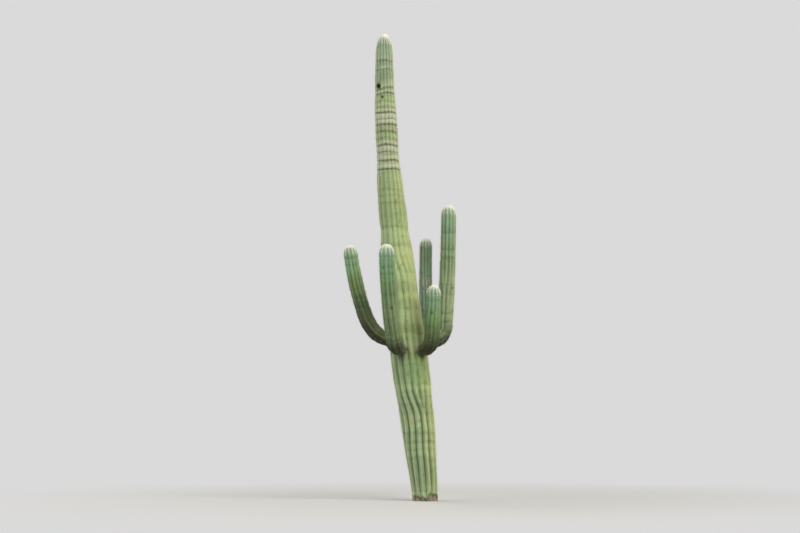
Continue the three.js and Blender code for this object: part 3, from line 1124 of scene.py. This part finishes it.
def pads_on(name, grown, which, swelling, draw):
    points, frames = grown.points[which], grown.frames[which]
    sizes = (swelling[which] * draw.uniform(*PAD_SIZES, len(points)))[:, None] * [[1, 1, 1]]
    choice = np.zeros(len(points), int)
    return joined_mesh(name, *place_copies([felt_pad], points, frames, sizes, choice))


# %% Spines and pads
OLD_SPINES_TOP = 2.3
MIDDLE_SPINES_TOP = 4.6
CROWN_REACH = 0.15
TIP_SWELLING = 0.5  # by how much a pad at the tip is larger
ELBOW_SHARE = 1.25  # of an arm's bend, below which its spines have weathered and are darkened as painted shade
AGEING_TRUNK = 0.5  # half the stretch over which spines of two ages are mixed
AGEING_ARM = 0.16
BLEACHING_SUN = 0.5  # an arm's sun from which its spines and felt are as pale as the trunk's


def trunk_ages(grown, crown, chance):
    """The trunk's pads and spines by their years: name, areoles and finish, and the spines' length.
    """
    place = grown.along + AGEING_TRUNK * chance
    old, young = place < OLD_SPINES_TOP, (place >= MIDDLE_SPINES_TOP) & ~crown
    return [("trunk_areoles", ~crown, "trunk_felt")], [
        ("trunk_spines_old", old, "old_spines", 1.1),
        ("trunk_spines_middle", ~old & ~young & ~crown, "middle_spines", 1.0),
        ("trunk_spines_young", young, "young_spines", 0.9),
    ]


def arm_ages(grown, crown, chance):
    """The same for an arm."""
    name, bleached = grown.limb.name, grown.limb.sun >= BLEACHING_SUN
    weathered = grown.along + AGEING_ARM * chance < grown.limb.bend_end * ELBOW_SHARE
    fresh = ~weathered & ~crown
    return [
        (name + "_elbow_areoles", weathered, "weathered_felt"),
        (name + "_areoles", fresh, "trunk_felt" if bleached else "arm_felt"),
    ], [
        (name + "_elbow_spines", weathered, "weathered_spines", 0.85),
        (name + "_spines", fresh, "middle_spines" if bleached else "arm_spines", 0.9),
    ]


draw = np.random.default_rng(91)
spine_pieces, pad_pieces, crown_pieces, finishes = [], [], [], {}
for name, grown in areoles.items():
    from_tip = grown.along - grown.limb.length
    crown = grown.along > grown.limb.length - CROWN_REACH
    swelling = 1 + TIP_SWELLING * rise(from_tip, start=-0.14, over=0.12)
    crown_pieces.append(pads_on(name + "_crown_felt", grown, crown, swelling, draw))
    finishes[name + "_crown_felt"] = "pale_wool"
    crown_pieces.append(spines_on(name + "_crown_spines", crown_rosettes, grown, crown, 1.0, draw))
    finishes[name + "_crown_spines"] = "young_spines"
    chance = draw.uniform(-1, 1, len(grown.along))
    ages = trunk_ages if grown.limb is trunk else arm_ages
    pads, spines = ages(grown, crown, chance)
    for title, which, finish in pads:
        pad_pieces.append(pads_on(title, grown, which, swelling, draw))
        finishes[title] = finish
    for title, which, finish, length in spines:
        spine_pieces.append(spines_on(title, rosettes, grown, which, length, draw))
        finishes[title] = finish
for piece in (*spine_pieces, *pad_pieces, *crown_pieces):
    print(piece.name, len(piece.data.polygons), "triangles")

# %% [markdown]
# Colours are read off the plant as a painter would name them, in the 0 to 255 values of a paint box,
# and turned into the linear values that light works with.

# %% Colours
def linear(value):
    share = value / 255
    return share / 12.92 if share <= 0.04045 else ((share + 0.055) / 1.055) ** 2.4


def paint(red, green, blue):
    return (linear(red), linear(green), linear(blue), 1.0)


CREST_GREEN = paint(212, 222, 166)
FLANK_GREEN = paint(150, 180, 116)
SHADED_VALLEY_GREEN = paint(110, 114, 60)
FRESH_GREEN = paint(122, 176, 92)
SUNNED_YELLOW = paint(186, 184, 118)
RING_DARK_AND_SHADE = paint(66, 74, 52)
RING_PALE = paint(190, 194, 172)
ARM_CREST = paint(142, 186, 116)
ARM_FLANK = paint(94, 150, 84)
ARM_SHADED_VALLEY = paint(46, 74, 38)
ARM_RING_PALE = paint(140, 162, 122)
AGED_AND_SHADED_GREEN = paint(38, 62, 24)
WAX_AND_SKYLIGHT_BLUE = paint(122, 158, 146)
OLD_OLIVE_AND_SHADE = paint(35, 40, 15)
BLOTCH = paint(62, 76, 40)
WOOL = paint(212, 212, 200)
CORK_LIGHT = paint(172, 161, 138)
CORK_DARK = paint(88, 78, 61)
BLOOM = paint(226, 230, 206)
PALE_STUDIO = (0.70, 0.70, 0.70, 1.0)
PALE_GROUND = (0.46, 0.46, 0.46, 1.0)
DIM_GROUND = (0.28, 0.28, 0.25, 1.0)

# %% [markdown]
# A material is a small graph of nodes. A few helpers keep it short: one adds a node with its
# settings and inputs, one blends two colours, one stretches a value over a new range, and one lays
# a tint on where a value is high. Effects that several finishes share are made once as node groups:
# fine mottling, cracked cork, wrinkles, and soft patches by which no two sides of a plant are quite
# alike. A group gives only masks, heights and colours.

# %% Helpers for materials
def add(tree, kind, inputs=None, **settings):
    made = tree.nodes.new("ShaderNode" + kind)
    set_all(made, settings)
    for key, value in (inputs or {}).items():
        if isinstance(value, bpy.types.NodeSocket):
            tree.links.new(value, made.inputs[key])
        else:
            made.inputs[key].default_value = value
    return made


def blend(tree, share, first, second):
    return add(tree, "Mix", {0: share, 6: first, 7: second}, data_type="RGBA").outputs[2]


def blend_values(tree, share, first, second):
    return add(tree, "Mix", {0: share, 2: first, 3: second}, data_type="FLOAT").outputs[0]


def stretch(tree, value, low, high, to_low=0.0, to_high=1.0):
    made = add(tree, "MapRange", {0: value, 1: low, 2: high, 3: to_low, 4: to_high},
               interpolation_type="SMOOTHSTEP")
    return made.outputs[0]


def tint(tree, colour, over, value, low, high, most):
    """A colour with another over it: none of it where a value is low, and most where it is high."""
    return blend(tree, stretch(tree, value, low, high, to_high=most), colour, over)


def calculate(tree, operation, first, second):
    return add(tree, "Math", {0: first, 1: second}, operation=operation).outputs[0]


def times(tree, first, second):
    return calculate(tree, "MULTIPLY", first, second)


def object_place(tree):
    return add(tree, "TexCoord").outputs["Object"]


def sized_place(tree, sizes):
    inputs = {0: object_place(tree), 1: sizes}
    return add(tree, "VectorMath", inputs, operation="MULTIPLY").outputs[0]


def noise(tree, scale, detail, roughness=0.5, place=None, output=0):
    place = object_place(tree) if place is None else place
    inputs = {"Vector": place, "Scale": scale, "Detail": detail, "Roughness": roughness}
    return add(tree, "TexNoise", inputs).outputs[output]


def mark(tree, name):
    return add(tree, "Attribute", attribute_name=name).outputs["Fac"]


def share_effect(name, build):
    """A node group that takes a scale and gives what a function builds from it, output by output."""
    tree = bpy.data.node_groups.new(name, "ShaderNodeTree")
    tree.interface.new_socket("Scale", in_out="INPUT", socket_type="NodeSocketFloat")
    built = build(tree, tree.nodes.new("NodeGroupInput").outputs["Scale"])
    for socket in built:
        kind = "NodeSocketColor" if socket == "Color" else "NodeSocketFloat"
        tree.interface.new_socket(socket, in_out="OUTPUT", socket_type=kind)
    result = tree.nodes.new("NodeGroupOutput").inputs
    for socket, value in built.items():
        tree.links.new(value, result[socket])


def use_effect(tree, name, scale):
    made = tree.nodes.new("ShaderNodeGroup")
    made.node_tree = bpy.data.node_groups[name]
    made.inputs["Scale"].default_value = scale
    return made.outputs


# %% Shared effects
def mottling(tree, scale):
    """Fine speckle of waxy bloom and breathing pores, in two sizes."""
    coarse = noise(tree, scale, 4.0, 0.6)
    both = blend_values(tree, 0.3, coarse, noise(tree, times(tree, scale, 6.0), 2.0))
    return {"Mask": stretch(tree, both, 0.38, 0.62), "Height": both}


def cork_plating(tree, scale):
    """Dry cork: pale plates with dark cracks between them, and a grain over both."""
    warp = noise(tree, 34.0, 4.0, output="Color")
    tall = sized_place(tree, (1.0, 1.0, 0.5))
    bent = add(tree, "VectorMath", {0: warp, 1: (0.03, 0.03, 0.03), 2: tall},
               operation="MULTIPLY_ADD").outputs[0]
    plates = add(tree, "TexVoronoi", {"Vector": bent, "Scale": scale}, feature="DISTANCE_TO_EDGE")
    plate = stretch(tree, plates.outputs["Distance"], -0.06, 0.16)
    grain = stretch(tree, noise(tree, 120.0, 5.0, 0.7), 0.3, 0.7)
    worn = stretch(tree, noise(tree, 24.0, 4.0), 0.35, 0.65, to_low=0.5)
    grained = stretch(tree, grain, 0.0, 1.0, to_low=0.45)
    shade = times(tree, times(tree, plate, worn), grained)
    return {"Color": blend(tree, shade, CORK_DARK, CORK_LIGHT),
            "Height": blend_values(tree, 0.3, plate, grain)}


def wrinkling(tree, scale):
    """Fine lines across a limb, as skin shows where it is drawn together."""
    lines = noise(tree, scale, 4.0, 0.6, place=sized_place(tree, (1.0, 1.0, 9.0)))
    return {"Mask": stretch(tree, lines, 0.42, 0.62)}


def patching(tree, scale):
    """Soft patches with gentle edges."""
    return {"Mask": stretch(tree, noise(tree, scale, 3.0, 0.55), 0.36, 0.64)}


share_effect("fine_mottling", mottling)
share_effect("cracked_cork", cork_plating)
share_effect("cross_wrinkles", wrinkling)
share_effect("soft_patches", patching)
print("shared effects:", [group.name for group in bpy.data.node_groups])

# %% [markdown]
# The skin's finish reads the marks stored on it, in the order in which a real skin ages. Green
# deepens into each valley and pales on the crest, and the valleys' deeper green is partly painted
# shade. Sun yellows one side and bluish wax lies on the other, both partly painted warm and cool
# light. Rings are dark with a pale stripe above, both with broken edges, and their dark is partly
# painted shade. Near cork the green first turns olive, and under the elbows that olive is partly
# painted shade. Where the cork mark passes a ragged threshold of noise, cracked cork takes over.
# Pale wool covers the tips. Wax makes the green parts softly shiny, and cork is dull. A pale sheen
# stands for the bloom of wax, which shows where the skin curves away.

# %% Skin materials
PATCH_SCALE, BLOTCH_SCALE, RAGGED_SCALE = 2.6, 11.0, 30.0
SPECKLE_SCALE, CORK_SCALE, WRINKLE_SCALE = 70.0, 105.0, 9.0
MOST_AGED_AND_SHADED = 0.95
SALLOW_AND_SUNLIGHT_SHARE, PATCH_SHARE = 0.75, 0.15  # of sunned yellow, by the mark and by soft patches
WAXY_ROUGHNESS = (0.46, 0.64)
CORK_ROUGHNESS = 0.9
WRINKLE_HEIGHT = 0.4  # the wrinkles' share of the skin's fine height
BUMP = {"Distance": 0.003, "Strength": 0.7}


def start_material(name):
    material = bpy.data.materials.new(name)
    material.use_nodes = True
    tree = material.node_tree
    return material, tree, tree.nodes["Principled BSDF"]


def green_skin(tree, crest_colour, flank_colour, valley_colour, ragged):
    """The colour of living skin by crest, years, sun and wax, with darker blotches; painted shade
    lies in the valleys and below the arms' necks, and painted warm and cool light on the two sides.
    """
    crest = mark(tree, "crest")
    # The darker valley green is partly the skin's own colour and partly painted shade.
    green = tint(tree, valley_colour, flank_colour, crest, 0.10, 0.72, most=1.0)
    green = tint(tree, green, crest_colour, crest, 0.88, 1.0, most=0.85)
    # The aged green also lays the painted shade below the arms' necks.
    green = blend(tree, times(tree, mark(tree, "age"), MOST_AGED_AND_SHADED), green, AGED_AND_SHADED_GREEN)
    green = tint(tree, green, FRESH_GREEN, mark(tree, "fresh"), 0.0, 0.6, most=0.75)
    patches = use_effect(tree, "soft_patches", PATCH_SCALE)["Mask"]
    # Sunned yellow and bluish wax on the two sides are partly painted warm and cool light.
    yellow = calculate(tree, "ADD", times(tree, mark(tree, "sallow"), SALLOW_AND_SUNLIGHT_SHARE),
                       times(tree, patches, PATCH_SHARE))
    green = blend(tree, yellow, green, SUNNED_YELLOW)
    wax = times(tree, mark(tree, "wax"), stretch(tree, ragged, 0.3, 0.7, to_low=0.35))
    green = blend(tree, wax, green, WAX_AND_SKYLIGHT_BLUE)
    return tint(tree, green, BLOTCH, noise(tree, BLOTCH_SCALE, 6.0, 0.7), 0.54, 0.66, most=0.45)


def shifted(tree, value, noisy, amount):
    """A value pushed up and down by noise, so that its edges break up."""
    swing = times(tree, calculate(tree, "SUBTRACT", noisy, 0.5), amount)
    return calculate(tree, "ADD", value, swing)


def ringed_skin(tree, green, pale_colour, ragged, wrinkle):
    """Tone between rings, then the pale stripes and the dark pinches, partly painted shade, with
    broken edges.
    """
    tone = mark(tree, "tone")
    green = tint(tree, green, pale_colour, tone, 0.0, 1.0, most=0.22)
    green = tint(tree, green, RING_DARK_AND_SHADE, tone, 0.0, -1.0, most=0.30)
    pale = shifted(tree, shifted(tree, mark(tree, "pale"), ragged, 0.5), wrinkle, 0.3)
    green = tint(tree, green, pale_colour, pale, 0.15, 0.95, most=0.72)
    dark = shifted(tree, shifted(tree, mark(tree, "dark"), ragged, 0.7), wrinkle, 0.3)
    return tint(tree, green, RING_DARK_AND_SHADE, dark, 0.34, 0.80, most=0.86)


def skin_material(name, greens, pale_colour, bloom):
    material, tree, shader = start_material(name)
    speckle = use_effect(tree, "fine_mottling", SPECKLE_SCALE)
    cork = use_effect(tree, "cracked_cork", CORK_SCALE)
    wrinkle = use_effect(tree, "cross_wrinkles", WRINKLE_SCALE)["Mask"]
    ragged = noise(tree, RAGGED_SCALE, 5.0, 0.65)
    corkiness = mark(tree, "cork")
    cork_share = stretch(tree, shifted(tree, corkiness, ragged, 1.0), 0.50, 0.66)

    colour = ringed_skin(tree, green_skin(tree, *greens, ragged), pale_colour, ragged, wrinkle)
    colour = tint(tree, colour, SHADED_VALLEY_GREEN, speckle["Mask"], 0.0, 1.0, most=0.20)
    # Near cork the green turns olive; under the elbows this olive is partly painted shade.
    colour = tint(tree, colour, OLD_OLIVE_AND_SHADE, corkiness, 0.08, 0.48, most=0.92)
    colour = blend(tree, cork_share, colour, cork["Color"])
    wool = times(tree, mark(tree, "wool"), stretch(tree, ragged, 0.3, 0.6, to_low=0.5))
    tree.links.new(blend(tree, wool, colour, WOOL), shader.inputs["Base Color"])

    waxy = stretch(tree, speckle["Mask"], 0.0, 1.0, *WAXY_ROUGHNESS)
    roughness = blend_values(tree, cork_share, waxy, CORK_ROUGHNESS)
    tree.links.new(roughness, shader.inputs["Roughness"])
    skin_height = blend_values(tree, WRINKLE_HEIGHT, speckle["Height"], wrinkle)
    height = blend_values(tree, cork_share, skin_height, cork["Height"])
    bump = add(tree, "Bump", {"Height": height, **BUMP})
    tree.links.new(bump.outputs["Normal"], shader.inputs["Normal"])
    shader.inputs["Sheen Weight"].default_value = bloom
    shader.inputs["Sheen Roughness"].default_value = 0.45
    shader.inputs["Sheen Tint"].default_value = BLOOM
    return material


def dress(thing, material):
    thing.data.materials.clear()
    thing.data.materials.append(material)


trunk_greens = (CREST_GREEN, FLANK_GREEN, SHADED_VALLEY_GREEN)
arm_greens = (ARM_CREST, ARM_FLANK, ARM_SHADED_VALLEY)
dress(trunk_skin, skin_material("trunk_skin", trunk_greens, RING_PALE, bloom=0.5))
arm_finish = skin_material("arm_skin", arm_greens, ARM_RING_PALE, bloom=0.18)
for skin in arm_skins.values():
    dress(skin, arm_finish)

# %% [markdown]
# Spines, felt and wool are joined from thousands of copies, so each of those pieces has one plain
# colour of its own rather than a pattern. Spines are hard and a little glossy, and felt is dull. Both
# are darker on the arms than on the trunk, but the two arms with the most sun have bleached. The
# crowns have the trunk's young spines and pale wool.

# %% Spine and felt materials
PLAIN_FINISHES = {  # colour and roughness
    "young_spines": (paint(238, 238, 228), 0.45),
    "middle_spines": (paint(210, 208, 172), 0.5),
    "old_spines": (paint(206, 206, 168), 0.6),
    "arm_spines": (paint(164, 174, 128), 0.55),
    # The weathered spines and felt under the arms' bends are darkened further as painted shade.
    "weathered_spines": (paint(84, 86, 48), 0.7),
    "trunk_felt": (paint(184, 184, 150), 0.95),
    "arm_felt": (paint(140, 150, 112), 0.95),
    "weathered_felt": (paint(76, 80, 42), 0.95),
    "pale_wool": (WOOL, 0.95),
}

plain_materials = {}
for name, (colour, roughness) in PLAIN_FINISHES.items():
    plain_materials[name], tree, shader = start_material(name)
    shader.inputs["Base Color"].default_value = colour
    shader.inputs["Roughness"].default_value = roughness
for piece in (*spine_pieces, *pad_pieces, *crown_pieces):
    dress(piece, plain_materials[finishes[piece.name]])

# %% [markdown]
# The studio is a wide pale floor and a pale room. From eye height a floor's far edge would draw a
# line behind the plant, so away from its foot the floor's finish fades into a plain glow of just the
# room's colour. The fade goes by distance from the origin in the floor's own space, so it stays put
# whichever way the camera looks. Bare ground throws little light back up, so to everything but the
# camera the floor is dim and its glow is weak, and the undersides of the elbows stay dark.

# %% The floor and the room
FLOOR_RADIUS = 300
FADE_START, FADE_END = 2.0, 9.0
ROOM_LIGHT = 0.45
GLOW_ON_PLANT = 0.1


def seen_directly(tree):
    return add(tree, "LightPath").outputs["Is Camera Ray"]


def join_shaders(tree, share, first, second, ending):
    both = add(tree, "MixShader", {0: share, 1: first.outputs[0], 2: second.outputs[0]})
    tree.links.new(both.outputs[0], tree.nodes[ending].inputs["Surface"])


let_go()
bpy.ops.mesh.primitive_circle_add(vertices=128, radius=FLOOR_RADIUS, fill_type="NGON")
floor = bpy.context.object
floor.name = "floor"
floor_finish, tree, shader = start_material("floor")
shader.inputs["Roughness"].default_value = 0.9
shader.inputs["Specular IOR Level"].default_value = 0.1
seen = seen_directly(tree)
tree.links.new(blend(tree, seen, DIM_GROUND, PALE_GROUND), shader.inputs["Base Color"])
strength = blend_values(tree, seen, GLOW_ON_PLANT, 1.0)
glow = add(tree, "Emission", {"Color": PALE_STUDIO, "Strength": strength})
distance = add(tree, "VectorMath", {0: object_place(tree)}, operation="LENGTH").outputs["Value"]
faded = stretch(tree, distance, FADE_START, FADE_END)
join_shaders(tree, faded, shader, glow, "Material Output")
dress(floor, floor_finish)

world = bpy.data.worlds.new("room")
world.use_nodes = True
tree = world.node_tree
lit = add(tree, "Background", {"Color": (1, 1, 1, 1), "Strength": ROOM_LIGHT})
backdrop = add(tree, "Background", {"Color": PALE_STUDIO, "Strength": 1.0})
join_shaders(tree, seen_directly(tree), lit, backdrop, "World Output")
bpy.context.scene.world = world
bpy.context.scene.view_settings.view_transform = "Standard"

# %% [markdown]
# Three very large square lights stand well back, so that the whole seven metres is lit alike and the
# arms' shadows on the trunk are as soft as under a bright overcast sky. The key light is high and
# warm, in front and to the right, a weaker and cooler one fills from the left as the sky does, and
# one behind draws the pale edge of spines along the plant's outline.

# %% Lights
LIGHT_SIZE = 26
WARM, COOL = (1.0, 0.95, 0.86), (0.97, 0.98, 0.95)


def softbox(name, place, colour, brightness):
    """A square light aimed at the plant's middle; brightness is in watts on a square metre there."""
    light = new_object(name, bpy.data.lights.new(name, "AREA"))
    light.location = place
    light.data.size = LIGHT_SIZE
    light.data.color = colour
    light.data.energy = brightness * math.pi * aim_at_plant(light).length_squared


softbox("key_light", (15, -19, 22), WARM, brightness=3.78)
softbox("fill_light", (-22, -8, 12), COOL, brightness=1.85)
softbox("back_light", (-18, 15, 17), WARM, brightness=2.0)

# %% [markdown]
# Last, each skin stands for the solids that it covers, which are hidden, and everything rides on
# the plant's one body.

# %% Hiding the solids and riding on one body
pieces = [trunk_skin, *arm_skins.values(), *spine_pieces, *pad_pieces, *crown_pieces]
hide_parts("trunk")
for name, skin in arm_skins.items():
    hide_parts(name, name + "_elbow")
for piece in pieces:
    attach(piece, "root")
